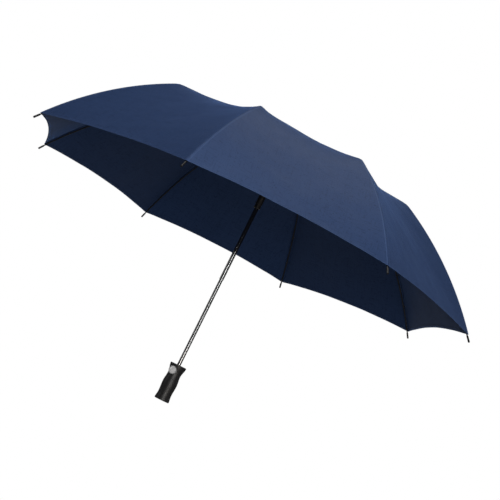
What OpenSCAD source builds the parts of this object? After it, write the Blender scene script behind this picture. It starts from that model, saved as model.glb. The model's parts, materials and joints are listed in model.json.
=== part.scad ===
// Two-fold umbrella with eight ribs, a telescopic shaft and a push-button handle, in its open state.
// Origin: centre of the handle's flat end. +Z runs up the shaft, and the button faces -Y.

/* [Canopy] */
// Radius of the circle that the rib tips lie on
tip_radius = 547; // [540:1:555]
// Height of the rib tips above the handle's end
tip_height = 396.5; // [393:0.5:400]
// Angle of the first rib from +X
rib_offset = 10; // [0:1:44]
// Steepness of the fabric just outside the fold joint
shoulder_slope = 29.5; // [28:0.5:31]
// Steepness of the fabric at the rib tips
rim_slope = 53.6; // [52:0.2:54]
// How far a panel hangs below the straight line between its two ribs
panel_sag = 15; // [5:1:20]
// How far the hem curves in between two tips
hem_scallop = 11; // [4:1:20]
// Thickness of the fabric solid, measured vertically
fabric_t = 0.6; // [0.5:0.1:1]

/* [Ribs] */
// Distance from the crown pivot to the fold joint
inner_length = 290; // [285:1:295]
// Distance from the crown pivot to the stretcher's pivot
stretcher_at = 150; // [140:1:160]
// How far the inner ribs slope down when the umbrella is open
open_slope = 8; // [7:0.5:9]
// Angle of the inner ribs below the horizontal when the umbrella is closed
closed_slope = 89; // [88:0.5:89]
// Diameter of the outer rib's rod
rod_d = 3; // [2.6:0.2:3.2]
// Bend of the outer rib's rod from its socket to its tip
rod_bend = 22; // [20:1:24]

/* [Shaft] */
// Height of the pivots in the crown
crown_z = 651.5; // [648:0.5:655]
// Distance from the shaft's centre to the crown pivots
crown_pivot_r = 14; // [13.5:0.5:15]
// Distance from the shaft's centre to the runner pivots
runner_pivot_r = 12.5; // [12:0.5:13]
// Distance from the crown pivots down to the runner pivots when the umbrella is open
runner_drop = 125; // [120:1:130]
// Outer diameter of the upper tube
upper_tube_d = 9.8; // [9.6:0.1:10]
// Outer diameter of the lower tube
lower_tube_d = 8.4; // [8.2:0.1:8.4]
// Height of the upper tube's lower end when the shaft is out
upper_tube_end = 296; // [290:1:300]

/* [Handle] */
// Length of the handle
handle_l = 85; // [84:1:90]
// Radius of the handle at its flat end
handle_r = 17.2; // [16:0.2:18]
// Height of the button's centre
button_z = 70; // [66:1:72]
// Radius of the button
button_r = 7.4; // [7:0.1:7.6]

/* [Hidden] */
$fn = 48;

rib_count = 8;
half_step = 180 / rib_count;          // from a rib to the middle of a panel
running = 0.05;                       // radial clearance of a pin in its hole
clear = 0.3;                          // gap between bodies that pass each other

// Steel sections
sheet_t = 0.5;
rib_w = 4;
rib_h = 3.4;
stretcher_w = 5.2;
tongue_t = 2.2;
eye_r = 2.2;
rivet_r = 1;
rivet_head_r = 1.6;
head_t = 0.4;

// Pivot points in the rib's plane, [along the rib, above the rib's centre line]
stretcher_pivot = [stretcher_at, -4.2];
fold_pivot = [inner_length, 3];
rod_drop = 4;                         // from the fold pivot down to the rod's axis

// Stretcher, from its two pivots
stretcher_pivot_open = polar_point(stretcher_pivot, -open_slope) + [crown_pivot_r, crown_z];
runner_pivot_open = [runner_pivot_r, crown_z - runner_drop];
stretcher_v = runner_pivot_open - stretcher_pivot_open;
stretcher_l = norm(stretcher_v);
stretcher_angle = atan2(stretcher_v[1], stretcher_v[0]) + open_slope;

// Fold link: its end on the stretcher, and its end on the outer rib's lever
link_crank = 6;
lever_l = 6.1;
lever_angle = -165;
link_w = 3.9;                         // distance of the link's wire from the rib's plane
link_d = 1.4;
link_start = stretcher_pivot + link_crank * [cos(stretcher_angle), sin(stretcher_angle)];
link_end = fold_pivot + lever_l * [cos(lever_angle), sin(lever_angle)];
link_v = link_end - link_start;

// Outer rib: the rod is an arc from the fold joint to the tip
fold_open = polar_point(fold_pivot, -open_slope) + [crown_pivot_r, crown_z];
tip_v = [tip_radius, tip_height] - fold_open;
rod_chord = sqrt(pow(norm(tip_v), 2) - pow(rod_drop, 2) * 0.96);
rod_arc_r = rod_chord / (2 * sin(rod_bend / 2));
rod_chord_slope = atan2(-tip_v[1], tip_v[0]) - asin(rod_drop * cos(rod_bend / 2) / norm(tip_v));
rod_slope = rod_chord_slope - rod_bend / 2;
socket_from = 5;
socket_l = 12;
socket_r = 2.2;
cap_l = 14;
cap_r = 2.1;

// Fabric line over a rib, as radius from the shaft and height
apex_r = 9.5;
fabric_over_crown = 4.2;
shoulder = [302.5, 618];
shoulder_rise = (crown_z + fabric_over_crown - shoulder[1]) / (shoulder[0] - crown_pivot_r);
fabric_arc_r = (tip_radius - shoulder[0]) / (sin(rim_slope) - sin(shoulder_slope));
corner_r = tip_radius - 7;            // the sewn corner of a panel, just short of the rib's tip
rim_sag = 5;
sag_peak_r = 330;

function polar_point(p, angle) =
    [p[0] * cos(angle) - p[1] * sin(angle), p[0] * sin(angle) + p[1] * cos(angle)];

function fabric_line(r) = r < shoulder[0]
    ? shoulder[1] + (shoulder[0] - r) * shoulder_rise
    : shoulder[1] - fabric_arc_r * cos(shoulder_slope)
      + sqrt(pow(fabric_arc_r, 2) - pow(r - shoulder[0] + fabric_arc_r * sin(shoulder_slope), 2));

function sag(r) = r < sag_peak_r
    ? panel_sag * sin(90 * r / sag_peak_r)
    : panel_sag + (rim_sag - panel_sag) * (r - sag_peak_r) / (corner_r - sag_peak_r);

// Height of the fabric at distance x along a rib's direction and y beside it
function fabric_z(x, y) =
    let (from_middle = half_step - abs(atan2(y, x)),
         r = norm([x, y]) * cos(from_middle) / cos(half_step),
         share = tan(from_middle) / tan(half_step))
    fabric_line(r) - sag(r) * (1 - share * share);

// Distance along a rib's direction at which the ray of slope t reaches the hem
function hem_x(t) =
    let (angle = atan(abs(t)), from_middle = half_step - angle, share = tan(from_middle) / tan(half_step),
         r = corner_r - hem_scallop * (1 - share * share))
    r * cos(half_step) / cos(from_middle) * cos(angle);

// ---------- helpers ----------

// A plate of thickness t in the rib's plane, w away from it. Its outline is drawn as [along, up].
module plate(t, w = 0) {
    translate([0, w, 0]) rotate([90, 0, 0]) linear_extrude(t, center = true) children();
}

// A pin across the rib's plane at point p, from w0 to w1
module cross_pin(p, r, w0, w1) {
    translate([p[0], w1, p[1]]) rotate([90, 0, 0]) cylinder(r = r, h = w1 - w0);
}

module at_rib(i) {
    rotate([0, 0, rib_offset + (i - 1) * 360 / rib_count]) children();
}

// The inner rib's own frame: origin at its crown pivot, X along the rib
module rib_frame(i) {
    at_rib(i) translate([crown_pivot_r, 0, crown_z]) rotate([0, open_slope, 0]) children();
}

module ring(r_out, r_in, h) {
    difference() {
        cylinder(r = r_out, h = h);
        translate([0, 0, -1]) cylinder(r = r_in, h = h + 2);
    }
}

// ---------- handle ----------

grip_keys = [[0, handle_r], [17, handle_r - 1.7], [41, handle_r - 0.4], [62, handle_r - 2.4],
             [handle_l, handle_r + 1.7]];
grip_steps = 7;
grip_edge = 1.2;
core_r = 12;
recess_r = 10;
recess_z = 54;
cap_pocket_r = 13.5;
cap_t = 3;
bezel_r = 9;
bezel_back = 12.6;
bezel_face = 18.6;
button_face = 19.4;
button_back = 13.4;
dome_r = 26;
pocket_r = 8.2;
pocket_floor = recess_r + 0.6;
stem_r = 1.6;
tube_seat = 8;                        // height at which the lower tube starts in the core
past = 40;                            // long enough to cut right through the handle's wall

// Grip radius at height z, eased between the key heights
function ease(a, b, u) = a + (b - a) * (1 - cos(180 * u)) / 2;
grip_outline = [for (k = [0:len(grip_keys) - 2]) for (s = [(k == 0 ? 1 : 0):grip_steps - 1])
    let (u = s / grip_steps, a = grip_keys[k], b = grip_keys[k + 1])
    [ease(a[1], b[1], u), a[0] + (b[0] - a[0]) * u]];

// Origin on the shaft's axis at the button's height, Z out of the button's face
module across_handle() {
    translate([0, 0, button_z]) rotate([90, 0, 0]) children();
}

module handle_grip() {
    top_r = grip_keys[len(grip_keys) - 1][1];
    color([0.06, 0.06, 0.065]) difference() {
        rotate_extrude() polygon(concat(
            [[core_r, 0], [handle_r - grip_edge, 0], [handle_r, grip_edge]], grip_outline,
            [[top_r, handle_l - grip_edge], [top_r - grip_edge, handle_l], [core_r, handle_l]]));
        translate([0, 0, -1]) cylinder(r = cap_pocket_r, h = cap_t + 1);
        across_handle() cylinder(r = bezel_r, h = past);
    }
}

// The insert that holds the lower tube, with a recess that takes the runner when the umbrella is closed
module handle_core() {
    color([0.09, 0.09, 0.09]) difference() {
        translate([0, 0, cap_t]) cylinder(r = core_r, h = handle_l - cap_t - 1);
        translate([0, 0, tube_seat]) cylinder(r = lower_tube_d / 2, h = handle_l);
        translate([0, 0, recess_z]) cylinder(r = recess_r, h = handle_l);
        // pocket behind the button, and the hole for its stem
        across_handle() translate([0, 0, pocket_floor]) cylinder(r = pocket_r, h = past);
        across_handle() cylinder(r = stem_r + 0.2, h = past);
    }
}

module end_cap() {
    color([0.07, 0.07, 0.07]) cylinder(r = cap_pocket_r - 0.1, h = cap_t);
}

module button_bezel() {
    color([0.75, 0.75, 0.77]) across_handle() translate([0, 0, bezel_back])
        ring(bezel_r, button_r + 0.2, bezel_face - bezel_back);
}

module push_button() {
    color([0.8, 0.8, 0.82]) across_handle() {
        intersection() {
            translate([0, 0, button_back]) cylinder(r = button_r, h = button_face - button_back + 1);
            translate([0, 0, button_face - dome_r]) sphere(r = dome_r);
        }
        translate([0, 0, recess_r]) cylinder(r = stem_r, h = button_back - recess_r + 0.1);
    }
}

module button_spring() {
    color([0.6, 0.6, 0.6]) across_handle() translate([0, 0, pocket_floor + 0.05])
        ring(3.4, 2.6, button_back - pocket_floor - 0.1);
}

// ---------- shaft ----------

tube_wall = 0.5;
lower_tube_top = 335;
upper_tube_top = crown_z - 6;
guide_l = 8;
rolled_l = 7;
stop_above = 14;                      // from the runner's pivots up to the stop ring
spring_from = 12;
spring_to = crown_z - 28;

module lower_tube() {
    guide_r = upper_tube_d / 2 - tube_wall - 0.1;
    color([0.1, 0.1, 0.1]) {
        translate([0, 0, tube_seat])
            ring(lower_tube_d / 2, lower_tube_d / 2 - tube_wall, lower_tube_top - tube_seat);
        // plastic guide on the tube's upper end
        translate([0, 0, lower_tube_top]) ring(guide_r, lower_tube_d / 2 - tube_wall, guide_l);
    }
}

module main_spring() {
    color([0.6, 0.6, 0.6]) translate([0, 0, spring_from]) ring(3.3, 2.5, spring_to - spring_from);
}

module upper_tube() {
    tube_r = upper_tube_d / 2;
    color([0.05, 0.05, 0.05]) {
        translate([0, 0, upper_tube_end + rolled_l])
            ring(tube_r, tube_r - tube_wall, upper_tube_top - upper_tube_end - rolled_l);
        // rolled end that guides the lower tube
        translate([0, 0, upper_tube_end]) ring(tube_r, lower_tube_d / 2 + 0.1, rolled_l);
        // stop ring above the runner
        translate([0, 0, crown_z - runner_drop + stop_above]) ring(tube_r + 1.1, tube_r, 5);
    }
}

module pivot_slots(r, w, floor_r, z0, z1) {
    for (i = [1:rib_count]) at_rib(i) translate([floor_r, -w / 2, z0]) cube([r, w, z1 - z0]);
}

crown_r = crown_pivot_r + 3.2;
crown_top = crown_z + 2;
crown_under = crown_z - 5;
crown_neck_l = 11;                    // how far the neck reaches below the disc
crown_core_r = crown_pivot_r - eye_r - 0.6;
ring_wire_r = 0.6;
slot_w = tongue_t + 2 * clear;

module crown() {
    color([0.08, 0.08, 0.08]) {
        difference() {
            union() {
                translate([0, 0, crown_under - crown_neck_l])
                    cylinder(r = upper_tube_d / 2 + 2.6, h = crown_neck_l + 3);
                translate([0, 0, crown_under]) cylinder(r = crown_r, h = crown_top - crown_under);
            }
            translate([0, 0, upper_tube_top - 11]) cylinder(r = upper_tube_d / 2, h = 11);
            pivot_slots(20, slot_w, crown_core_r, crown_z - 20, crown_z + 20);
            // groove that holds the wire ring
            translate([0, 0, crown_z]) rotate_extrude() translate([crown_pivot_r, 0]) circle(r = ring_wire_r);
        }
    }
    color([0.5, 0.5, 0.5]) translate([0, 0, crown_z]) rotate_extrude()
        translate([crown_pivot_r, 0]) circle(r = ring_wire_r);
}

module crown_cap() {
    seat_z = crown_z + fabric_over_crown + fabric_t / 2 + 2.4;
    color([0.06, 0.06, 0.06]) {
        translate([0, 0, seat_z]) rotate_extrude() polygon(
            [[0, 0], [13, 0], [13.6, 0.8], [12, 2.4], [7, 4.2], [5.2, 6], [4.6, 9.4], [3.6, 10.8], [0, 11]]);
        translate([0, 0, crown_top]) cylinder(r = 5, h = seat_z - crown_top);
    }
}

// The runner slides on the upper tube. Its slots are open above, below and outwards.
module runner() {
    head_r = runner_pivot_r + 2.4;
    sleeve_r = 7.8;
    bottom = -51;
    bore_r = upper_tube_d / 2 + 0.15;
    color([0.07, 0.07, 0.07]) translate([0, 0, crown_z - runner_drop]) difference() {
        union() {
            translate([0, 0, -5]) cylinder(r = head_r, h = 10);
            translate([0, 0, bottom]) cylinder(r = sleeve_r, h = -bottom + 11);
            translate([0, 0, bottom + 36]) cylinder(r = sleeve_r + 0.9, h = 3);
        }
        translate([0, 0, bottom - 1]) cylinder(r = bore_r, h = 80);
        // latch groove that the handle's catch holds when the umbrella is closed
        translate([0, 0, bottom + 5]) ring(sleeve_r + 1, sleeve_r - 1, 4);
        pivot_slots(20, slot_w, runner_pivot_r - eye_r - 1, -9, 9);
    }
}

// ---------- ribs ----------

module inner_rib(i) {
    channel_from = 9;
    channel_to = inner_length - 8.6;
    color([0.06, 0.06, 0.06]) rib_frame(i) difference() {
        union() {
            difference() {
                translate([channel_from, -rib_w / 2, -rib_h / 2])
                    cube([channel_to - channel_from, rib_w, rib_h]);
                translate([channel_from - 1, -rib_w / 2 + sheet_t, -rib_h / 2 - 1])
                    cube([inner_length, rib_w - 2 * sheet_t, rib_h - sheet_t + 1]);
            }
            // eye at the crown
            plate(tongue_t) {
                circle(r = eye_r);
                translate([0, -1.5]) square([20, 3]);
            }
            // lug for the stretcher
            plate(tongue_t) {
                translate(stretcher_pivot) circle(r = 1.9);
                translate([stretcher_at - 1.9, stretcher_pivot[1]]) square([3.8, 1.5 - stretcher_pivot[1]]);
            }
            // tongue that carries the fold joint
            plate(tongue_t) {
                translate(fold_pivot) circle(r = eye_r);
                polygon([[inner_length - 22, -1.2], [inner_length - 6, -1.2], [inner_length + 1.4, 1.3],
                         [inner_length - 1, 5], [inner_length - 9, 1.5], [inner_length - 22, 1.5]]);
            }
            cross_pin(fold_pivot, rivet_r, -3, 3);
            for (side = [-1, 1])
                cross_pin(fold_pivot, rivet_head_r, min(side * 2.6, side * 3), max(side * 2.6, side * 3));
        }
        cross_pin([0, 0], ring_wire_r + 0.1, -4, 4);
        cross_pin(stretcher_pivot, rivet_r + running, -4, 4);
    }
}

module stretcher(i) {
    wall = stretcher_w / 2;
    channel_to = stretcher_l - 14;
    color([0.06, 0.06, 0.06]) rib_frame(i)
        translate([stretcher_pivot[0], 0, stretcher_pivot[1]]) rotate([0, -stretcher_angle, 0]) difference() {
            union() {
                for (side = [-1, 1]) plate(sheet_t, side * (wall - sheet_t / 2)) {
                    circle(r = 1.9);
                    translate([0, -rib_h / 2]) square([channel_to, rib_h]);
                }
                translate([2.5, -wall, -rib_h / 2]) cube([channel_to - 2.5, stretcher_w, sheet_t]);
                cross_pin([0, 0], rivet_r, -wall - head_t, wall + head_t);
                for (side = [-1, 1]) translate([0, side * (wall + head_t / 2), 0]) rotate([90, 0, 0])
                    cylinder(r = rivet_head_r, h = head_t, center = true);
                // tongue that goes into the runner's slot
                plate(tongue_t - 0.4) {
                    translate([stretcher_l, 0]) circle(r = eye_r - 0.2);
                    translate([channel_to - 14, -rib_h / 2 + 0.2])
                        square([stretcher_l - channel_to + 14, rib_h - 0.9]);
                }
            }
            cross_pin([stretcher_l, 0], 0.8, -4, 4);
            cross_pin([link_crank, 0], 0.6 + running, 1, 4);
        }
}

// Steel wire from the stretcher to the lever on the outer rib
module fold_link(i) {
    color([0.3, 0.3, 0.3]) rib_frame(i) {
        translate([link_start[0], link_w, link_start[1]]) rotate([0, 90 - atan2(link_v[1], link_v[0]), 0])
            cylinder(r = link_d / 2, h = norm(link_v) - 1.6);
        cross_pin(link_start, 0.6, stretcher_w / 2 - sheet_t + 0.05, link_w);
        difference() {
            cross_pin(link_end, 1.9, link_w - link_d / 2, link_w + link_d / 2);
            cross_pin(link_end, 1, link_w - 2, link_w + 2);
        }
    }
}

// The outer rib's own frame: origin at the fold pivot, X along the rod where it leaves its socket
module outer_frame(i) {
    at_rib(i) translate([fold_open[0], 0, fold_open[1]]) rotate([0, rod_slope, 0]) children();
}

// A length of the rod's arc, from one bend angle to another
module rod_arc(r, from, to) {
    translate([0, 0, -rod_drop - rod_arc_r]) rotate([-90, 0, 0]) rotate([0, 0, from - 90])
        rotate_extrude(angle = to - from) translate([rod_arc_r, 0]) circle(r = r, $fn = 24);
}

module outer_rib(i) {
    ear_w = 1.8;
    socket_to = (socket_from + socket_l) / rod_arc_r * 180 / PI;
    socket_start = socket_from / rod_arc_r * 180 / PI;
    cap_angle = cap_l / rod_arc_r * 180 / PI;
    lever_turn = lever_angle + rod_slope - open_slope;
    lever = lever_l * [cos(lever_turn), sin(lever_turn)];
    color([0.05, 0.05, 0.05]) outer_frame(i) {
        difference() {
            union() {
                for (side = [-1, 1]) plate(0.8, side * ear_w) {
                    circle(r = 2.3);
                    polygon([[1.2, 1.8], [socket_from + 6, -rod_drop + 1.5], [socket_from + 6, -rod_drop - 1],
                             [socket_from - 1, -rod_drop - 1], [-1.6, -1.6]]);
                    polygon([[-0.9, 2.1], lever + [-0.2, 1.4], lever + [-0.2, -1.4], [0.4, -2.2]]);
                    translate(lever) circle(r = 1.5);
                }
                rod_arc(socket_r, socket_start, socket_to);
                cross_pin(lever, 0.8, ear_w, 3);
            }
            cross_pin([0, 0], rivet_r + running, -4, 4);
        }
        // rod, then the plastic cap on its tip
        rod_arc(rod_d / 2, socket_to, rod_bend - cap_angle);
        rod_arc(cap_r, rod_bend - cap_angle, rod_bend);
    }
}

// ---------- canopy ----------

seam_gap = 0.15;
lanes = 5;

// A sheet between the rays of a sector: rows run from near(t) to far(t) along the rib's direction
module fabric_sheet(rows, near, far) {
    across = 2 * lanes + 1;
    width = tan(half_step);
    function spot(j, k) =
        let (t = (k / lanes - 1) * width, x = near[k] + (far[k] - near[k]) * j / rows,
             y = t * (x - seam_gap / width))
        [x, y, fabric_z(x, y)];
    sheet = [for (j = [0:rows]) for (k = [0:across - 1]) spot(j, k)];
    n = len(sheet);
    lift = [0, 0, fabric_t / 2];
    edge = concat(
        [for (k = [0:across - 1]) k], [for (j = [1:rows]) j * across + across - 1],
        [for (k = [across - 2:-1:0]) rows * across + k], [for (j = [rows - 1:-1:1]) j * across]);
    polyhedron(
        points = concat([for (p = sheet) p + lift], [for (p = sheet) p - lift]),
        faces = concat(
            [for (j = [0:rows - 1]) for (k = [0:across - 2])
                let (a = j * across + k) each [[a, a + 1, a + across + 1], [a, a + across + 1, a + across]]],
            [for (j = [0:rows - 1]) for (k = [0:across - 2])
                let (a = n + j * across + k) each [[a, a + across + 1, a + 1], [a, a + across, a + across + 1]]],
            [for (e = [0:len(edge) - 1])
                let (a = edge[e], b = edge[(e + 1) % len(edge)]) each [[a, a + n, b + n], [a, b + n, b]]]));
}

module canopy_inner(i) {
    color([0.1, 0.14, 0.28]) at_rib(i) fabric_sheet(8,
        [for (k = [0:2 * lanes]) apex_r],
        [for (k = [0:2 * lanes]) shoulder[0] - 0.2]);
}

module canopy_outer(i) {
    color([0.1, 0.14, 0.28]) at_rib(i) fabric_sheet(10,
        [for (k = [0:2 * lanes]) shoulder[0] + 0.2],
        [for (k = [0:2 * lanes]) hem_x((k / lanes - 1) * tan(half_step))]);
}

// ---------- nodes ----------

handle_grip();
handle_core();
end_cap();
button_bezel();
push_button();
button_spring();
lower_tube();
main_spring();
upper_tube();
crown();
crown_cap();
runner();
for (i = [1:rib_count]) {
    inner_rib(i);
    stretcher(i);
    outer_rib(i);
    fold_link(i);
    canopy_inner(i);
    canopy_outer(i);
}
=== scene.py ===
"""Looks of the folding umbrella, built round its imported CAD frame."""

import json
import math

import bpy
import numpy as np
from mathutils import Matrix, Vector


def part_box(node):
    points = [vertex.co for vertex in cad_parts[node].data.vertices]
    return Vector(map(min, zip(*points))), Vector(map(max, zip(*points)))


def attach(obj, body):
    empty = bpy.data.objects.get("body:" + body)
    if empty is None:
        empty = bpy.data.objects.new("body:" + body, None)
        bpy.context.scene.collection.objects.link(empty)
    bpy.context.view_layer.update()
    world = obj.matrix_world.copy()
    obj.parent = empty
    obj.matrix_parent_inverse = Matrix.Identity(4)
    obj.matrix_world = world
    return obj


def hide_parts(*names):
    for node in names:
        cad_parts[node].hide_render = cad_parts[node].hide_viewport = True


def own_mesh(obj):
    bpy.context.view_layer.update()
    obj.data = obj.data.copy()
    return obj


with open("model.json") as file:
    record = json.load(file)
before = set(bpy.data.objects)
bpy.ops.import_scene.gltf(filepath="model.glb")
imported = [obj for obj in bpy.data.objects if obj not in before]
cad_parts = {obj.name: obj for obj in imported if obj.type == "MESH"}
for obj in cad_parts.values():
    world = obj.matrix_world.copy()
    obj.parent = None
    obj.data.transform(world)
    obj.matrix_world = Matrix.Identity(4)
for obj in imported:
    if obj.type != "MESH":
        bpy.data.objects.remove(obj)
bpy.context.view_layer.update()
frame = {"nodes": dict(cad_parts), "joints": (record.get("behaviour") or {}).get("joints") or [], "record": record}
nodes = frame["nodes"]
joints = {j["name"]: j for j in frame["joints"]}
MM = 0.001
RIBS = range(1, 9)

# ---------- camera, light and floor ----------

# the camera's place in metres and its own axes, at the photograph's angle
CAMERA_PLACE = (1.07195, -2.18852, 0.07249)
CAMERA_RIGHT = (0.833386, 0.333994, 0.440358)
CAMERA_DOWN = (0.352085, 0.293338, -0.888813)
CAMERA_AHEAD = (-0.426032, 0.895768, 0.12687)
CAMERA_LENS = 79.1
CAMERA_SENSOR = 36

WHITE = (1, 1, 1)
GLOW_BELOW = 0.16
GLOW_ABOVE = 0.05
FLOOR_HALF = 60.0
FLOOR_Z = -0.25

CANOPY_CENTRE = (0, 0, 0.5)
# name, place, target, size in metres, watts, colour
LIGHTS = (
    ("overhead", (0.1, -1.3, 2.8), CANOPY_CENTRE, (1.5, 1.5), 43, WHITE),
    ("top_back", (-0.1, 0.7, 3.0), CANOPY_CENTRE, (1.5, 1.5), 7.5, WHITE),
    ("front", (2.5, -3.2, 0.62), (0, 0, 0.3), (0.45, 1.3), 62, WHITE),
    ("left", (-2.4, -1.8, 0.9), CANOPY_CENTRE, (0.8, 1.6), 7, WHITE),
    ("under", (1.8, -1.7, -0.2), (0, 0.2, 0.6), (1.2, 0.8), 16, (1.0, 0.9, 0.78)),
    ("back_left", (-2.8, 1.6, 1.2), CANOPY_CENTRE, (1.6, 1.6), 5, WHITE),
    ("back_right", (2.8, 2.2, 1.2), CANOPY_CENTRE, (1.2, 1.2), 4, WHITE),
)


def make_camera():
    right, down, ahead = Vector(CAMERA_RIGHT), Vector(CAMERA_DOWN), Vector(CAMERA_AHEAD)
    data = bpy.data.cameras.new("camera")
    data.sensor_width = CAMERA_SENSOR
    data.lens = CAMERA_LENS
    data.clip_start = 0.01
    data.clip_end = 300
    cam = bpy.data.objects.new("camera", data)
    bpy.context.scene.collection.objects.link(cam)
    m = Matrix((right, -down, -ahead)).transposed().to_4x4()
    m.translation = Vector(CAMERA_PLACE)
    cam.matrix_world = m
    bpy.context.scene.camera = cam


def area_light(name, place, target, size, power, color):
    data = bpy.data.lights.new(name, "AREA")
    data.shape = "RECTANGLE"
    data.size, data.size_y = size
    data.energy = power
    data.color = color
    obj = bpy.data.objects.new(name, data)
    bpy.context.scene.collection.objects.link(obj)
    obj.location = place
    obj.rotation_mode = "QUATERNION"
    obj.rotation_quaternion = (Vector(target) - Vector(place)).to_track_quat("-Z", "Y")
    obj.visible_camera = False


def make_world():
    """White to the camera; as light, a faint glow, brighter from below than from above."""
    world = bpy.data.worlds.new("studio")
    bpy.context.scene.world = world
    world.use_nodes = True
    tree = world.node_tree
    tree.nodes.clear()
    out = tree.nodes.new("ShaderNodeOutputWorld")
    mix = tree.nodes.new("ShaderNodeMixShader")
    path = tree.nodes.new("ShaderNodeLightPath")
    white = tree.nodes.new("ShaderNodeBackground")
    white.inputs["Color"].default_value = (*WHITE, 1)
    glow = tree.nodes.new("ShaderNodeBackground")
    glow.inputs["Color"].default_value = (*WHITE, 1)
    coords = tree.nodes.new("ShaderNodeTexCoord")
    axes = tree.nodes.new("ShaderNodeSeparateXYZ")
    ramp = tree.nodes.new("ShaderNodeMapRange")
    ramp.inputs["From Min"].default_value = -0.7
    ramp.inputs["From Max"].default_value = 0.9
    ramp.inputs["To Min"].default_value = GLOW_BELOW
    ramp.inputs["To Max"].default_value = GLOW_ABOVE
    tree.links.new(coords.outputs["Generated"], axes.inputs[0])
    tree.links.new(axes.outputs["Z"], ramp.inputs["Value"])
    tree.links.new(ramp.outputs["Result"], glow.inputs["Strength"])
    tree.links.new(path.outputs["Is Camera Ray"], mix.inputs["Fac"])
    tree.links.new(glow.outputs[0], mix.inputs[1])
    tree.links.new(white.outputs[0], mix.inputs[2])
    tree.links.new(mix.outputs[0], out.inputs["Surface"])


def make_floor():
    """A pale floor, white to the camera and open from below."""
    mesh = bpy.data.meshes.new("floor")
    s, z = FLOOR_HALF, FLOOR_Z
    mesh.from_pydata([(-s, -s, z), (s, -s, z), (s, s, z), (-s, s, z)], [], [(0, 1, 2, 3)])
    floor = bpy.data.objects.new("floor", mesh)
    bpy.context.scene.collection.objects.link(floor)
    mat = bpy.data.materials.new("floor")
    mat.use_nodes = True
    tree = mat.node_tree
    tree.nodes.clear()
    out = tree.nodes.new("ShaderNodeOutputMaterial")
    mix = tree.nodes.new("ShaderNodeMixShader")
    side = tree.nodes.new("ShaderNodeNewGeometry")
    glow = tree.nodes.new("ShaderNodeEmission")
    glow.inputs["Color"].default_value = (*WHITE, 1)
    clear = tree.nodes.new("ShaderNodeBsdfTransparent")
    tree.links.new(side.outputs["Backfacing"], mix.inputs["Fac"])
    tree.links.new(glow.outputs[0], mix.inputs[1])
    tree.links.new(clear.outputs[0], mix.inputs[2])
    tree.links.new(mix.outputs[0], out.inputs["Surface"])
    mesh.materials.append(mat)
    floor.visible_diffuse = False
    floor.visible_glossy = False
    floor.visible_shadow = False


make_camera()
make_world()
make_floor()
bpy.context.scene.view_settings.view_transform = "Standard"
for light in LIGHTS:
    area_light(*light)

# ---------- materials ----------

BLACK = (0.006, 0.006, 0.007)
# lighter blue painted along the seam lips and the hem's turned edge, as a highlight where they catch the light
EDGE_HIGHLIGHT_COLOR = (0.045, 0.08, 0.18)
STITCH_COLOR = (0.05, 0.075, 0.15)
YARN_SCALE = 480.0

class Material:
    """A node material with the few helpers the recipes below need."""

    def __init__(self, name, color, roughness, metallic=0.0, **sockets):
        self.mat = bpy.data.materials.new(name)
        self.mat.use_nodes = True
        self.tree = self.mat.node_tree
        self.shader = self.tree.nodes["Principled BSDF"]
        self.color = (*color, 1)
        self.set("Base Color", self.color)
        self.set("Roughness", roughness)
        self.set("Metallic", metallic)
        for key, value in sockets.items():
            self.set(key.replace("_", " "), value)
        self.height = None

    def set(self, socket, value):
        self.shader.inputs[socket].default_value = value

    def node(self, kind, **values):
        n = self.tree.nodes.new("ShaderNode" + kind)
        for key, value in values.items():
            if key in n.inputs:
                n.inputs[key].default_value = value
            else:
                setattr(n, key, value)
        return n

    def link(self, a, b):
        self.tree.links.new(a, b)

    def coords(self, scale=(1, 1, 1), uv=None):
        if uv:
            source = self.node("UVMap", uv_map=uv).outputs[0]
        else:
            source = self.node("TexCoord").outputs["Object"]
        place = self.node("Mapping")
        place.inputs["Scale"].default_value = scale
        self.link(source, place.inputs[0])
        return place.outputs[0]

    def noise(self, scale, detail=3.0, rough=0.5, coords=None):
        n = self.node("TexNoise", Scale=scale, Detail=detail, Roughness=rough)
        self.link(coords or self.coords(), n.inputs["Vector"])
        return n.outputs["Fac"]

    def math(self, op, a, b=None, c=None):
        n = self.node("Math", operation=op)
        for k, v in enumerate((a, b, c)):
            if v is None:
                continue
            if isinstance(v, (int, float)):
                n.inputs[k].default_value = v
            else:
                self.link(v, n.inputs[k])
        return n.outputs[0]

    def band(self, value, low, high, soft):
        """1 where value is between low and high, fading out over soft."""
        up = self.node("MapRange", interpolation_type="SMOOTHSTEP")
        up.inputs["From Min"].default_value = low - soft
        up.inputs["From Max"].default_value = low
        down = self.node("MapRange", interpolation_type="SMOOTHSTEP")
        down.inputs["From Min"].default_value = high
        down.inputs["From Max"].default_value = high + soft
        down.inputs["To Min"].default_value = 1.0
        down.inputs["To Max"].default_value = 0.0
        self.link(value, up.inputs["Value"])
        self.link(value, down.inputs["Value"])
        return self.math("MULTIPLY", up.outputs[0], down.outputs[0])

    def scaled(self, value, low, high):
        n = self.node("MapRange")
        n.inputs["To Min"].default_value = low
        n.inputs["To Max"].default_value = high
        self.link(value, n.inputs["Value"])
        return n.outputs[0]

    def tint(self, value, color, base=None):
        """Mixes the base colour towards color by value."""
        n = self.node("Mix", data_type="RGBA")
        self.link(value, n.inputs[0])
        if base is None:
            n.inputs[6].default_value = self.color
        else:
            self.link(base, n.inputs[6])
        n.inputs[7].default_value = (*color, 1)
        self.link(n.outputs[2], self.shader.inputs["Base Color"])
        return n.outputs[2]

    def stitches(self, along):
        """1 on each stitch of a row and 0 between them, from the distance along it in mm."""
        return self.band(self.math("FRACT", self.math("MULTIPLY", along, 0.4)), 0.18, 0.82, 0.08)

    def roughness(self, value):
        self.link(value, self.shader.inputs["Roughness"])

    def bump(self, height, distance, strength=1.0):
        n = self.node("Bump", Strength=strength, Distance=distance)
        self.link(height, n.inputs["Height"])
        if self.height is not None:
            self.link(self.height, n.inputs["Normal"])
        self.height = n.outputs[0]
        self.link(n.outputs[0], self.shader.inputs["Normal"])


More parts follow.
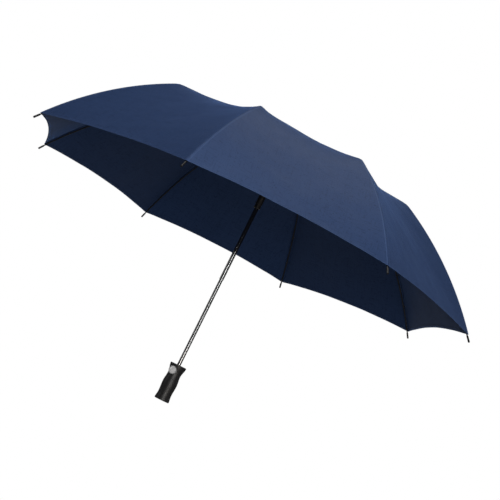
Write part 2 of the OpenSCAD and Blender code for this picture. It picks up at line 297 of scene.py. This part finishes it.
def fabric_material():
    m = Material("navy_pongee", (0.0175, 0.0345, 0.09), 0.5, Sheen_Weight=0.3, Sheen_Roughness=0.3,
                 Specular_IOR_Level=0.32)
    m.set("Sheen Tint", (0.2, 0.4, 1.0, 1))
    m.set("Specular Tint", (0.2, 0.42, 1.0, 1))
    # plain weave of fine yarn, in metres along and across a panel
    weave = m.coords(uv="weave")
    warp = m.node("TexWave", wave_type="BANDS", bands_direction="X", Scale=YARN_SCALE)
    weft = m.node("TexWave", wave_type="BANDS", bands_direction="Y", Scale=YARN_SCALE)
    m.link(weave, warp.inputs["Vector"])
    m.link(weave, weft.inputs["Vector"])
    yarn = m.math("MULTIPLY", warp.outputs["Fac"], weft.outputs["Fac"])
    slub = m.noise(900, 2, 0.6)
    cloud = m.noise(7, 3, 0.55)
    fleck = m.noise(190, 5, 0.8)
    shade = m.math("ADD", m.math("MULTIPLY", yarn, 0.2), m.math("MULTIPLY", slub, 0.2))
    base = m.tint(shade, (0.027, 0.051, 0.127))
    base = m.tint(m.scaled(m.band(fleck, 0.44, 0.6, 0.07), 0.9, 0.0), (0.005, 0.011, 0.034), base)
    # uneven threads show as faint bars across the cloth
    for scale in ((520, 30, 1), (26, 480, 1)):
        bars = m.noise(1.0, 2, 0.5, m.coords(scale, uv="weave"))
        base = m.tint(m.scaled(m.band(bars, 0.44, 0.9, 0.14), 0.5, 0.0), (0.007, 0.015, 0.045), base)
    base = m.tint(m.math("MULTIPLY", cloud, 0.3), (0.011, 0.023, 0.064), base)
    # seams on the ribs: a folded edge with a painted highlight along it, beside two rows of stitches
    seam = m.node("SeparateXYZ")
    m.link(m.node("UVMap", uv_map="seam").outputs[0], seam.inputs[0])
    away = m.math("ABSOLUTE", seam.outputs["X"])
    lip_highlight = m.band(away, 2.55, 3.1, 0.3)
    thread = m.math("MULTIPLY", m.band(away, 1.75, 2.05, 0.12), m.stitches(seam.outputs["Y"]))
    base = m.tint(m.math("MULTIPLY", lip_highlight, 0.6), EDGE_HIGHLIGHT_COLOR, base)
    base = m.tint(m.math("MULTIPLY", thread, 0.6), STITCH_COLOR, base)
    # hem: a turned edge with a painted highlight along it, and one row of stitches
    hem = m.node("SeparateXYZ")
    m.link(m.node("UVMap", uv_map="hem").outputs[0], hem.inputs[0])
    edge = m.band(hem.outputs["Y"], -0.4, 0.9, 0.3)
    row = m.math("MULTIPLY", m.band(hem.outputs["Y"], 5.2, 5.5, 0.12), m.stitches(hem.outputs["X"]))
    base = m.tint(m.math("MULTIPLY", edge, 0.4), EDGE_HIGHLIGHT_COLOR, base)
    base = m.tint(m.math("MULTIPLY", row, 0.6), STITCH_COLOR, base)
    m.roughness(m.scaled(m.noise(40, 3, 0.6), 0.42, 0.52))
    m.bump(m.noise(22, 4, 0.55), 0.0016, 0.35)
    m.bump(m.math("SUBTRACT", yarn, m.math("MULTIPLY", m.math("ADD", thread, row), 3.0)), 0.00006, 0.5)
    return m.mat


def lacquer_material():
    m = Material("black_lacquer", BLACK, 0.12, Specular_IOR_Level=1.0, Coat_Weight=1.0,
                 Coat_Roughness=0.04, Coat_IOR=1.6)
    scuff = m.noise(260, 5, 0.7, m.coords((1, 1, 0.08)))
    m.tint(m.math("MULTIPLY", m.band(scuff, 0.62, 1.2, 0.06), 0.2), (0.012, 0.012, 0.013))
    m.roughness(m.scaled(scuff, 0.09, 0.12))
    m.bump(m.noise(60, 2, 0.5), 0.000002, 0.1)
    return m.mat


def rubber_material():
    m = Material("soft_grip", (0.005, 0.005, 0.006), 0.48, Specular_IOR_Level=0.45)
    grain = m.noise(2600, 3, 0.6)
    worn = m.noise(60, 4, 0.6)
    m.tint(m.math("MULTIPLY", worn, 0.3), (0.009, 0.009, 0.01))
    m.roughness(m.scaled(worn, 0.44, 0.52))
    m.bump(grain, 0.00001, 0.12)
    return m.mat


def plastic_material():
    m = Material("moulded_black", BLACK, 0.4)
    grain = m.noise(1400, 3, 0.55)
    m.tint(m.math("MULTIPLY", m.noise(90, 3, 0.6), 0.35), (0.013, 0.013, 0.014))
    m.roughness(m.scaled(m.noise(120, 3, 0.6), 0.34, 0.48))
    m.bump(grain, 0.00004, 0.4)
    return m.mat


def painted_rib_material():
    m = Material("painted_steel", BLACK, 0.4)
    wear = m.noise(180, 5, 0.65)
    m.tint(m.math("MULTIPLY", m.band(wear, 0.66, 1.2, 0.05), 0.4), (0.06, 0.06, 0.062))
    m.roughness(m.scaled(wear, 0.34, 0.5))
    m.bump(m.noise(900, 3, 0.5), 0.00002, 0.4)
    return m.mat


def fibre_material():
    m = Material("fibre_rod", (0.005, 0.005, 0.006), 0.42, Specular_IOR_Level=0.35)
    strand = m.noise(1600, 3, 0.6, m.coords((1, 1, 0.2)))
    m.tint(m.math("MULTIPLY", strand, 0.4), (0.012, 0.012, 0.013))
    m.roughness(m.scaled(strand, 0.36, 0.52))
    m.bump(strand, 0.00002, 0.4)
    return m.mat


def thread_material():
    m = Material("thread", (0.006, 0.008, 0.014), 0.7, Sheen_Weight=0.2, Sheen_Roughness=0.5)
    twist = m.node("TexWave", wave_type="BANDS", bands_direction="DIAGONAL", Scale=900.0, Distortion=1.5)
    m.link(m.coords(), twist.inputs["Vector"])
    m.tint(m.math("MULTIPLY", twist.outputs["Fac"], 0.6), (0.02, 0.026, 0.045))
    m.roughness(m.scaled(m.noise(800, 3, 0.6), 0.6, 0.85))
    m.bump(twist.outputs["Fac"], 0.00008, 0.8)
    return m.mat


def metal_material(name, color, low, high, stretch, metallic=1.0):
    m = Material(name, color, (low + high) / 2, metallic)
    brushed = m.noise(1500, 4, 0.6, m.coords(stretch))
    m.tint(m.math("MULTIPLY", brushed, 0.25), tuple(c * 0.75 for c in color))
    m.roughness(m.scaled(brushed, low, high))
    m.bump(brushed, 0.000006, 0.4)
    return m.mat


FABRIC = fabric_material()
THREAD = thread_material()
BY_SLOT = {
    "shaft_black": lacquer_material(),
    "grip_rubber": rubber_material(),
    "black_plastic": plastic_material(),
    "rib_black": painted_rib_material(),
    "rod_black": fibre_material(),
    "bezel_chrome": metal_material("bezel_chrome", (0.86, 0.87, 0.89), 0.2, 0.34, (1, 1, 1), 0.7),
    "button_silver": metal_material("button_silver", (0.8, 0.81, 0.83), 0.3, 0.4, (0.05, 1, 1), 0.3),
    "spring_steel": metal_material("spring_steel", (0.4, 0.4, 0.41), 0.25, 0.4, (1, 1, 6)),
    "link_steel": metal_material("link_steel", (0.12, 0.12, 0.125), 0.3, 0.5, (1, 1, 1)),
    "navy_fabric": FABRIC,
}
slot_of = {s["node"]: s["material_slot"] for s in frame["record"]["subparts"]}
for name, obj in nodes.items():
    obj.data.materials.clear()
    obj.data.materials.append(BY_SLOT[slot_of[name]])

# ---------- canopy ----------

# lengths in mm; CROWN and SHOULDER are (radius, height) of the cloth over a rib's two joints
HALF = math.tau / 16
SLANT = math.tan(HALF)
APEX_R = 9.5
CROWN = (14.0, 655.7)
SHOULDER = (302.5, 618.0)
SHOULDER_SLOPE = math.radians(29.5)
RIM_SLOPE = math.radians(53.6)
RIM_R = 547.0
CORNER_R = RIM_R - 7
SCALLOP = 11.0
RIM_SAG = 5.0
INNER_ROWS = 26
OUTER_ROWS = 34
LANES = 15
SEAM_LANES = (1.4, 2.5, 3.1)
CROSS_TENSION = 2.4
HEM_TURN = 0.35
HEM_WIDTH = 7.0
ARC_R = (RIM_R - SHOULDER[0]) / (math.sin(RIM_SLOPE) - math.sin(SHOULDER_SLOPE))


def rib_azimuth(i):
    t = joints[f"rib_{i}_hinge"]["axis"]
    return math.atan2(-t[0], t[1])


def fabric_line(r):
    """Height of the cloth over a rib, in mm, with the fold joint's corner rounded."""
    rise = (CROWN[1] - SHOULDER[1]) / (SHOULDER[0] - CROWN[0])
    if r < SHOULDER[0]:
        z = SHOULDER[1] + (SHOULDER[0] - r) * rise
    else:
        run = r - SHOULDER[0] + ARC_R * math.sin(SHOULDER_SLOPE)
        z = SHOULDER[1] - ARC_R * math.cos(SHOULDER_SLOPE) + math.sqrt(ARC_R**2 - run**2)
    reach = 9.0
    near = max(0.0, reach - abs(r - SHOULDER[0]))
    return z - near**2 * (math.tan(SHOULDER_SLOPE) - rise) / (4 * reach)


def hem_x(t):
    angle = math.atan(t)
    share = math.tan(HALF - angle) / SLANT
    r = CORNER_R - SCALLOP * (1 - share**2)
    return r * math.cos(HALF) / math.cos(HALF - angle) * math.cos(angle)


def lane_offsets(half_width):
    """Distances from the rib to each lane, with a few close lanes for the seam."""
    n = LANES
    first = [min(w, half_width * (k + 1) / n) for k, w in enumerate(SEAM_LANES)]
    rest = np.linspace(first[-1], half_width, n - len(first) + 1)[1:]
    return np.array([0.0, *first, *rest])


def sector_plan():
    """Plan points [row, lane] of the cloth from a rib to the middle of a panel."""
    inner = APEX_R + (SHOULDER[0] - APEX_R) * (np.arange(INNER_ROWS + 1) / INNER_ROWS) ** 0.9
    rows = [np.stack([np.full(LANES + 1, x), lane_offsets(x * SLANT)], 1) for x in inner]
    for j in range(1, OUTER_ROWS + 1):
        u = j / OUTER_ROWS
        x_rib = SHOULDER[0] + (hem_x(0) - SHOULDER[0]) * u
        y = lane_offsets(x_rib * SLANT)
        t = y / x_rib
        far = np.array([hem_x(s) for s in t])
        x = SHOULDER[0] + (far - SHOULDER[0]) * u
        rows.append(np.stack([x, t * x], 1))
    return np.array(rows)


def membrane_stiffness(flat, tri):
    """Stiffness matrix of a membrane pulled harder across the panel than along it."""
    along = np.array([math.cos(HALF), math.sin(HALF)])
    across = np.array([-along[1], along[0]])
    pull = np.outer(along, along) + CROSS_TENSION * np.outer(across, across)
    p = flat[tri]
    b = np.stack([p[:, 1, 1] - p[:, 2, 1], p[:, 2, 1] - p[:, 0, 1], p[:, 0, 1] - p[:, 1, 1]], 1)
    c = np.stack([p[:, 2, 0] - p[:, 1, 0], p[:, 0, 0] - p[:, 2, 0], p[:, 1, 0] - p[:, 0, 0]], 1)
    area2 = np.abs(p[:, 0, 0] * b[:, 0] + p[:, 1, 0] * b[:, 1] + p[:, 2, 0] * b[:, 2])
    grad = np.stack([b, c], 1) / area2[:, None, None]
    local = np.einsum("nia,ij,njb->nab", grad, pull, grad) * area2[:, None, None] / 2
    stiff = np.zeros((len(flat), len(flat)))
    for a in range(3):
        for d in range(3):
            np.add.at(stiff, (tri[:, a], tri[:, d]), local[:, a, d])
    return stiff


def half_sector():
    """Plan points and relaxed heights of the cloth, held at the rib, the apex and the hem."""
    plan = sector_plan()
    n_rows, n_cols = plan.shape[:2]
    index = np.arange(n_rows * n_cols).reshape(n_rows, n_cols)
    flat = plan.reshape(-1, 2)
    tri = np.concatenate([
        np.stack([index[:-1, :-1], index[1:, :-1], index[1:, 1:]], -1).reshape(-1, 3),
        np.stack([index[:-1, :-1], index[1:, 1:], index[:-1, 1:]], -1).reshape(-1, 3)])
    stiff = membrane_stiffness(flat, tri)
    z = np.zeros(len(flat))
    fixed = np.zeros(len(flat), bool)

    def pin(ids, heights):
        fixed[ids] = True
        z[ids] = heights

    pin(index[:, 0], [fabric_line(x) for x in plan[:, 0, 0]])
    pin(index[0], fabric_line(APEX_R))
    last = plan[-1]
    off_middle = HALF - np.arctan2(last[:, 1], last[:, 0])
    bow = 1 - (np.tan(off_middle) / SLANT) ** 2
    reach = np.hypot(last[:, 0], last[:, 1]) * np.cos(off_middle) / math.cos(HALF)
    pin(index[-1], np.array([fabric_line(r) for r in reach]) - RIM_SAG * bow)
    free = ~fixed
    z[free] = np.linalg.solve(stiff[np.ix_(free, free)], -stiff[np.ix_(free, fixed)] @ z[fixed])
    return plan, z.reshape(n_rows, n_cols)


def smooth_noise(p, seed, wavelength, waves=7):
    """Sum of a few seeded plane waves, about -1 to 1."""
    rng = np.random.default_rng(seed)
    total = np.zeros(p.shape[:-1])
    for _ in range(waves):
        direction = rng.normal(size=3)
        direction /= np.linalg.norm(direction)
        k = math.tau / wavelength * rng.uniform(0.7, 1.4)
        total += np.sin((p @ direction) * k + rng.uniform(0, math.tau))
    return total / math.sqrt(waves)


def canopy_points():
    """World points [rib, row, lane] in mm, with seams, puckers and slack laid on the relaxed cloth."""
    plan, z = half_sector()
    left = plan[:, :0:-1] * np.array([1, -1])
    sector = np.concatenate([left, plan], 1)
    height = np.concatenate([z[:, :0:-1], z], 1)
    points = []
    for i in RIBS:
        a = rib_azimuth(i)
        x = sector[..., 0] * math.cos(a) - sector[..., 1] * math.sin(a)
        y = sector[..., 0] * math.sin(a) + sector[..., 1] * math.cos(a)
        points.append(np.stack([x, y, height], -1))
    points = np.array(points)
    w = np.abs(sector[..., 1])
    x = sector[..., 0]
    lift = np.where(w < 2.6, 0.35, 0.0)
    lift[w == 0] = 0.25
    for n, i in enumerate(RIBS):
        p = points[n]
        slack = smooth_noise(p, 11, 150.0) * 0.9 + smooth_noise(p, 5, 60.0) * 0.25
        slack *= np.minimum(1, w / 40) * np.clip((x - 15) / 60, 0, 1)
        pucker = np.sin(x / 3.4 + 2.1 * np.sin(x / 21 + i)) * np.exp(-((w - 7) / 7) ** 2)
        pucker *= 0.22 * (0.6 + 0.4 * np.sin(x / 47 + i)) * (w > 2.6)
        tip = np.hypot(x - CORNER_R, w)
        rays = np.cos(np.arctan2(w, CORNER_R - x) * 14 + i) * np.exp(-((tip - 30) / 26) ** 2) * 0.5
        fold = np.hypot(x - SHOULDER[0], w)
        rays += np.cos(np.arctan2(w, SHOULDER[0] - x) * 10 + i) * np.exp(-((fold - 26) / 18) ** 2) * 0.3
        rays *= np.minimum(1, w / 8)
        hem_calm = np.ones_like(x)
        hem_calm[-1] = 0.4
        points[n, :, :, 2] += (slack + rays) * hem_calm + pucker + lift
    return points, sector


def canopy_normals(points):
    """Unit normals over the whole canopy, shared across the cuts."""
    p = points
    quad = np.cross(p[:, 1:, 1:] - p[:, :-1, :-1], p[:, :-1, 1:] - p[:, 1:, :-1])
    normal = np.zeros_like(p)
    for a in (slice(None, -1), slice(1, None)):
        for b in (slice(None, -1), slice(1, None)):
            normal[:, a, b] += quad
    seam = normal[:, :, -1] + np.roll(normal, -1, axis=0)[:, :, 0]
    normal[:, :, -1] = seam
    normal[:, :, 0] = np.roll(seam, 1, axis=0)
    normal /= np.maximum(np.linalg.norm(normal, axis=-1, keepdims=True), 1e-12)
    if normal[0, 5, LANES, 2] < 0:
        normal = -normal
    return normal


def sheet_mesh(name, points, normals, seam_uv, hem_uv, weave_uv):
    """A mesh from a grid of points in mm, with its normals and the maps the fabric reads."""
    rows, cols = points.shape[:2]
    index = np.arange(rows * cols).reshape(rows, cols)
    faces = np.stack([index[:-1, :-1], index[1:, :-1], index[1:, 1:], index[:-1, 1:]], -1).reshape(-1, 4)
    flat = points.reshape(-1, 3)
    nrm = normals.reshape(-1, 3)
    sample = np.cross(flat[faces[0, 1]] - flat[faces[0, 0]], flat[faces[0, 2]] - flat[faces[0, 0]])
    if sample @ nrm[faces[0, 0]] < 0:
        faces = faces[:, ::-1]
    mesh = bpy.data.meshes.new(name)
    mesh.from_pydata((flat * MM).tolist(), [], faces.tolist())
    mesh.polygons.foreach_set("use_smooth", [True] * len(mesh.polygons))
    corner = np.zeros(len(mesh.loops), np.int32)
    mesh.loops.foreach_get("vertex_index", corner)
    face_side = np.repeat((faces % cols).mean(1) < (cols - 1) / 2, 4)
    for label, grid in (("seam", seam_uv), ("hem", hem_uv)):
        layer = mesh.uv_layers.new(name=label)
        layer.data.foreach_set("uv", grid.reshape(-1, 2)[corner].astype(np.float32).ravel())
    layer = mesh.uv_layers.new(name="weave")
    left, right = (grid.reshape(-1, 2)[corner] for grid in weave_uv)
    both = np.where(face_side[:, None], left, right)
    layer.data.foreach_set("uv", both.astype(np.float32).ravel())
    mesh.materials.append(FABRIC)
    mesh.normals_split_custom_set_from_vertices(nrm.tolist())
    obj = bpy.data.objects.new(name, mesh)
    bpy.context.scene.collection.objects.link(obj)
    return obj


def grid_area(points):
    d1 = points[1:, 1:] - points[:-1, :-1]
    d2 = points[:-1, 1:] - points[1:, :-1]
    return float(np.linalg.norm(np.cross(d1, d2), axis=-1).sum() / 2) * MM * MM


def make_canopy():
    points, sector = canopy_points()
    normals = canopy_normals(points)
    w = sector[..., 1]
    along = np.concatenate([[0], np.cumsum(np.linalg.norm(np.diff(points[0, :, LANES], axis=0), axis=1))])
    seam_uv = np.stack([w, np.broadcast_to(along[:, None], w.shape)], -1)
    edge = points[0, -1]
    to_hem = np.linalg.norm(points[0] - edge[None], axis=-1)
    run = np.concatenate([[0], np.cumsum(np.linalg.norm(np.diff(edge, axis=0), axis=1))])
    hem_uv = np.stack([np.broadcast_to(run[None], w.shape), to_hem], -1)
    r = np.hypot(sector[..., 0], w)
    a = np.arctan2(w, sector[..., 0])
    weave_uv = [np.stack([r * np.sin(a - s * HALF), r * np.cos(a - s * HALF)], -1) * MM for s in (-1, 1)]
    cut = INNER_ROWS
    for n, i in enumerate(RIBS):
        parts = (("inner", slice(0, cut + 1), f"rib_{i}"), ("outer", slice(cut, None), f"tip_rib_{i}"))
        for kind, rows, body in parts:
            p, nrm = points[n, rows], normals[n, rows]
            maps = [seam_uv[rows], hem_uv[rows], [g[rows] for g in weave_uv]]
            if kind == "outer":
                p, nrm, maps = with_hem(p, nrm, maps)
            name = f"cloth_{kind}_{i}"
            obj = sheet_mesh(name, p, nrm, *maps)
            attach(obj, body)
            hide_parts(f"canopy_{kind}_{i}")
            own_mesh(obj)
            area = grid_area(p)
            span = np.ptp(w[rows]) * MM
            depth = float(along[rows][-1] - along[rows][0]) * MM
            depth = max(depth, area / span * 1.001)
    return points, normals, sector


def with_hem(p, nrm, maps):
    """Turns the last row under and carries it back along the inside, as a sewn hem."""
    back = p[-2] - p[-1]
    back /= np.linalg.norm(back, axis=-1, keepdims=True)
    down = -nrm[-1]
    rows, normals, backs = [], [], []
    turned = ((0.0, HEM_TURN, 1.0), (HEM_WIDTH * 0.5, HEM_TURN * 1.3, 2.0), (HEM_WIDTH, HEM_TURN * 1.2, 2.0))
    for out, drop, tilt in turned:
        rows.append(p[-1] + back * out + down * drop)
        n = nrm[-1] * (1 - tilt) - back * (0.8 if tilt == 1.0 else 0.0)
        normals.append(n / np.linalg.norm(n, axis=-1, keepdims=True))
        backs.append(out)
    p = np.concatenate([p, rows])
    nrm = np.concatenate([nrm, normals])
    seam_uv, hem_uv, weave_uv = maps
    seam = np.concatenate([seam_uv, [seam_uv[-1]] * 3])
    along = hem_uv[-1, :, 0]
    hem = np.concatenate([hem_uv, [np.stack([along, np.full_like(along, b)], -1) for b in backs]])
    weave = [np.concatenate([g, [g[-1] + np.array([0, b * MM]) for b in backs]]) for g in weave_uv]
    return p, nrm, [seam, hem, weave]


points, normals, sector = make_canopy()

# ---------- ties, apex washer and strap ----------

OPEN_SLOPE = math.radians(8)
ROD_SLOPE = math.radians(29.88)
ROD_DROP = 4.0
ROD_ARC_R = 859.4
INNER_TIES = (52, 120, 200, 262)      # mm from the crown pivot along the inner rib
OUTER_TIES = (5.5, 11.0, 16.5)        # degrees round the bent outer rod
TIE_STEPS = 24
THREAD_R = 0.32
CLOTH_GAP = 0.25


def pivot(joint):
    """A hinge's place in its rib's plane, as radius from the shaft and height, in mm."""
    x, y, z = joints[joint]["pos_m"]
    return math.hypot(x, y) / MM, z / MM


CROWN_PIVOT = pivot("rib_1_hinge")
FOLD_PIVOT = pivot("tip_rib_1_hinge")


def mesh_piece(name, verts, faces, material, body, slot):
    """A smooth piece from points in mm, riding on a body."""
    mesh = bpy.data.meshes.new(name)
    mesh.from_pydata((np.asarray(verts) * MM).tolist(), [], [tuple(f) for f in faces])
    mesh.polygons.foreach_set("use_smooth", [True] * len(mesh.polygons))
    mesh.materials.append(material)
    mesh.update()
    obj = bpy.data.objects.new(name, mesh)
    bpy.context.scene.collection.objects.link(obj)
    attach(obj, body)
    return obj


def loop_tube(path, across, radius, sides=6):
    """Points and faces of a closed tube round a flat path, where across is the path's own axis."""
    n = len(path)
    ahead = np.roll(path, -1, 0) - np.roll(path, 1, 0)
    ahead /= np.linalg.norm(ahead, axis=1, keepdims=True)
    out = np.cross(ahead, across)
    turn = np.arange(sides) * math.tau / sides
    ring = out[:, None] * np.cos(turn)[None, :, None] + across[None, None] * np.sin(turn)[None, :, None]
    verts = (path[:, None] + ring * radius).reshape(-1, 3)
    faces = []
    for a in range(n):
        b = (a + 1) % n
        for k in range(sides):
            m = (k + 1) % sides
            faces.append((a * sides + k, b * sides + k, b * sides + m, a * sides + m))
    return verts, faces


def tie(place, slope, half_width, below, above, azimuth):
    """Two turns of thread round a rib, from under it up to the cloth."""
    radial = np.array([math.cos(azimuth), math.sin(azimuth), 0])
    side = np.array([-math.sin(azimuth), math.cos(azimuth), 0])
    along = radial * math.cos(slope) - np.array([0, 0, math.sin(slope)])
    up = radial * math.sin(slope) + np.array([0, 0, math.cos(slope)])
    origin = radial * place[0] + np.array([0, 0, place[1]])
    turns = []
    for shift, lean in ((-0.4, 0.25), (0.4, -0.2)):
        t = np.arange(TIE_STEPS) * math.tau / TIE_STEPS
        y = np.sign(np.cos(t)) * np.abs(np.cos(t)) ** 0.6 * half_width
        z = np.sign(np.sin(t)) * np.abs(np.sin(t)) ** 0.6 * (above + below) / 2 + (above - below) / 2
        path = origin + np.outer(y, side) + np.outer(z, up) + np.outer(shift + lean * np.sin(t), along)
        turns.append(loop_tube(path, along, THREAD_R))
    return joined(turns)


def joined(parts):
    """Several (points, faces) pairs as one."""
    verts, faces = [], []
    for v, f in parts:
        start = sum(len(q) for q in verts)
        verts.append(v)
        faces += [tuple(k + start for k in face) for face in f]
    return np.concatenate(verts), faces


def make_ties():
    """The stitches that hold the cloth down on the ribs."""
    for i in RIBS:
        azimuth = rib_azimuth(i)
        parts = []
        for along in INNER_TIES:
            r = CROWN_PIVOT[0] + along * math.cos(OPEN_SLOPE)
            z = CROWN_PIVOT[1] - along * math.sin(OPEN_SLOPE)
            gap = (fabric_line(r) - z) * math.cos(OPEN_SLOPE)
            parts.append(tie((r, z), OPEN_SLOPE, 2.4, 2.05, gap - CLOTH_GAP, azimuth))
        mesh_piece(f"ties_inner_{i}", *joined(parts), THREAD, f"rib_{i}", "navy_fabric")
        parts = []
        for bend in OUTER_TIES:
            b = math.radians(bend)
            x = ROD_ARC_R * math.sin(b)
            drop = -ROD_DROP - ROD_ARC_R * (1 - math.cos(b))
            r = FOLD_PIVOT[0] + x * math.cos(ROD_SLOPE) + drop * math.sin(ROD_SLOPE)
            z = FOLD_PIVOT[1] - x * math.sin(ROD_SLOPE) + drop * math.cos(ROD_SLOPE)
            slope = ROD_SLOPE + b
            gap = (fabric_line(r) - z) * math.cos(slope)
            parts.append(tie((r, z), slope, 1.85, 1.85, gap - CLOTH_GAP, azimuth))
        mesh_piece(f"ties_outer_{i}", *joined(parts), THREAD, f"tip_rib_{i}", "navy_fabric")


def make_apex_washer():
    """A small pinked disc of cloth between the canopy's centre and the crown's cap."""
    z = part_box("crown_cap")[0][2] / MM + 4.0
    spokes, rings = 96, 6
    inner, outer = 6.0, 18.0
    verts, faces = [], []
    for k in range(rings + 1):
        u = k / rings
        for n in range(spokes):
            a = n * math.tau / spokes
            r = inner + (outer - inner) * u + 0.5 * u**4 * math.cos(24 * a)
            verts.append((r * math.cos(a), r * math.sin(a), z - 0.5 * u**2 + 0.12 * u * math.sin(3 * a)))
    for k in range(rings):
        for n in range(spokes):
            m = (n + 1) % spokes
            faces.append((k * spokes + n, (k + 1) * spokes + n, (k + 1) * spokes + m, k * spokes + m))
    washer = mesh_piece("apex_washer", verts, faces, FABRIC, "upper_shaft", "navy_fabric")


COIL_STEPS = 14                       # points per turn of a spring
COIL_SIDES = 6


def coil(name, node, axis, radius, wire, turns):
    """A wound spring in the place of a CAD tube, riding on the handle."""
    low, high = (np.array(v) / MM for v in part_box(node))
    middle = (low + high) / 2
    along = np.array(axis, float)
    half = abs((high - low) @ along) / 2 - wire
    side = np.array([1.0, 0, 0])
    other = np.cross(along, side)
    steps = int(turns * COIL_STEPS)
    t = np.linspace(0, 1, steps + 1)
    a = t * turns * math.tau
    round_axis = np.outer(np.cos(a), side) + np.outer(np.sin(a), other)
    path = middle + round_axis * radius + np.outer((2 * t - 1) * half, along)
    sides = COIL_SIDES
    ring = np.arange(sides) * math.tau / sides
    verts = path[:, None] + wire * (round_axis[:, None] * np.cos(ring)[None, :, None]
                                    + along[None, None] * np.sin(ring)[None, :, None])
    faces = []
    for k in range(steps):
        for m in range(sides):
            n = (m + 1) % sides
            faces.append((k * sides + m, (k + 1) * sides + m, (k + 1) * sides + n, k * sides + n))
    faces += [tuple(range(sides)), tuple(steps * sides + m for m in reversed(range(sides)))]
    piece = mesh_piece(name, verts.reshape(-1, 3), faces, BY_SLOT["spring_steel"], "handle", "spring_steel")
    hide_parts(node)
    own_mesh(piece)


def make_springs():
    """The springs in the shaft and behind the button, as coils."""
    coil("shaft_spring", "main_spring", (0, 0, 1), 2.9, 0.4, 90)
    coil("press_spring", "button_spring", (0, -1, 0), 3.0, 0.22, 2.5)


STRAP_RIB = 3
STRAP_L = 150.0
STRAP_W = 24.0
STRAP_SIDE = 15.0
STRAP_ROWS = 40
STRAP_COLS = 11
STUD_ROW = STRAP_ROWS - 5
# radius and height of the stud's turned outline, from its middle outwards
STUD_OUTLINE = (
    (0.0, 1.5), (2.2, 1.4), (3.6, 1.1), (4.1, 1.25), (5.0, 1.7),
    (5.7, 1.5), (6.0, 0.9), (5.6, 0.1), (5.4, -0.4),
)
STUD_TURNS = 32


def cloth_line(side):
    """The cloth's outer face beside the strap's rib, as points and normals from the hem inwards."""
    n = STRAP_RIB - 1
    place, normal = [], []
    for row in range(points.shape[1] - 1, INNER_ROWS, -1):
        w = sector[row, :, 1]
        place.append([np.interp(side, w, points[n, row, :, k]) for k in range(3)])
        normal.append([np.interp(side, w, normals[n, row, :, k]) for k in range(3)])
    return np.array(place), np.array(normal)


def make_strap():
    """The closing strap, sewn to the hem and lying on the cloth, with its press stud."""
    rows, cols = STRAP_ROWS, STRAP_COLS
    verts = np.zeros((rows + 1, cols + 1, 3))
    body = f"tip_rib_{STRAP_RIB}"
    for k in range(cols + 1):
        t = 2 * k / cols - 1
        place, normal = cloth_line(STRAP_SIDE + t * STRAP_W / 2)
        run = np.concatenate([[0], np.cumsum(np.linalg.norm(np.diff(place, axis=0), axis=1))])
        for j in range(rows + 1):
            s = j / rows
            end = max(0.0, s - 0.94) / 0.06
            at = 1.5 + (STRAP_L - 9 * (1 - math.sqrt(max(0.0, 1 - t * t))) * (s > 0.5)) * s
            spot = np.array([np.interp(at, run, place[:, m]) for m in range(3)])
            up = np.array([np.interp(at, run, normal[:, m]) for m in range(3)])
            lift = 1.5 + 1.6 * math.sin(math.pi * s) ** 2 * (1 + 0.3 * math.sin(9 * s + t))
            lift -= 0.7 * (t**6) + 0.5 * end**2
            verts[j, k] = spot + up * lift
    index = np.arange((rows + 1) * (cols + 1)).reshape(rows + 1, cols + 1)
    faces = np.stack([index[:-1, :-1], index[1:, :-1], index[1:, 1:], index[:-1, 1:]], -1).reshape(-1, 4)
    strap = mesh_piece("closing_strap", verts.reshape(-1, 3), faces.tolist(), FABRIC, body, "navy_fabric")
    middle = cols // 2
    seat = verts[STUD_ROW, middle]
    inwards = verts[STUD_ROW + 1, middle] - verts[STUD_ROW - 1, middle]
    up = np.cross(inwards, verts[STUD_ROW, middle + 1] - seat)
    up /= np.linalg.norm(up)
    if up @ cloth_line(STRAP_SIDE)[1][5] < 0:
        up = -up
    stud = make_stud(seat, up, body)


def make_stud(seat, up, body):
    """A turned press stud: a rolled rim round a dished cap."""
    outline = STUD_OUTLINE
    side = np.cross(up, [0, 0, 1])
    side /= np.linalg.norm(side)
    other = np.cross(up, side)
    turns = STUD_TURNS
    verts = [seat + up * outline[0][1]]
    for r, h in outline[1:]:
        for n in range(turns):
            a = n * math.tau / turns
            verts.append(seat + up * h + (side * math.cos(a) + other * math.sin(a)) * r)
    faces = [(0, 1 + n, 1 + (n + 1) % turns) for n in range(turns)]
    for k in range(len(outline) - 2):
        for n in range(turns):
            a, b = 1 + k * turns + n, 1 + k * turns + (n + 1) % turns
            faces.append((a, a + turns, b + turns, b))
    return mesh_piece("strap_stud", verts, faces, BY_SLOT["bezel_chrome"], body, "bezel_chrome")


make_ties()
make_apex_washer()
make_springs()
make_strap()
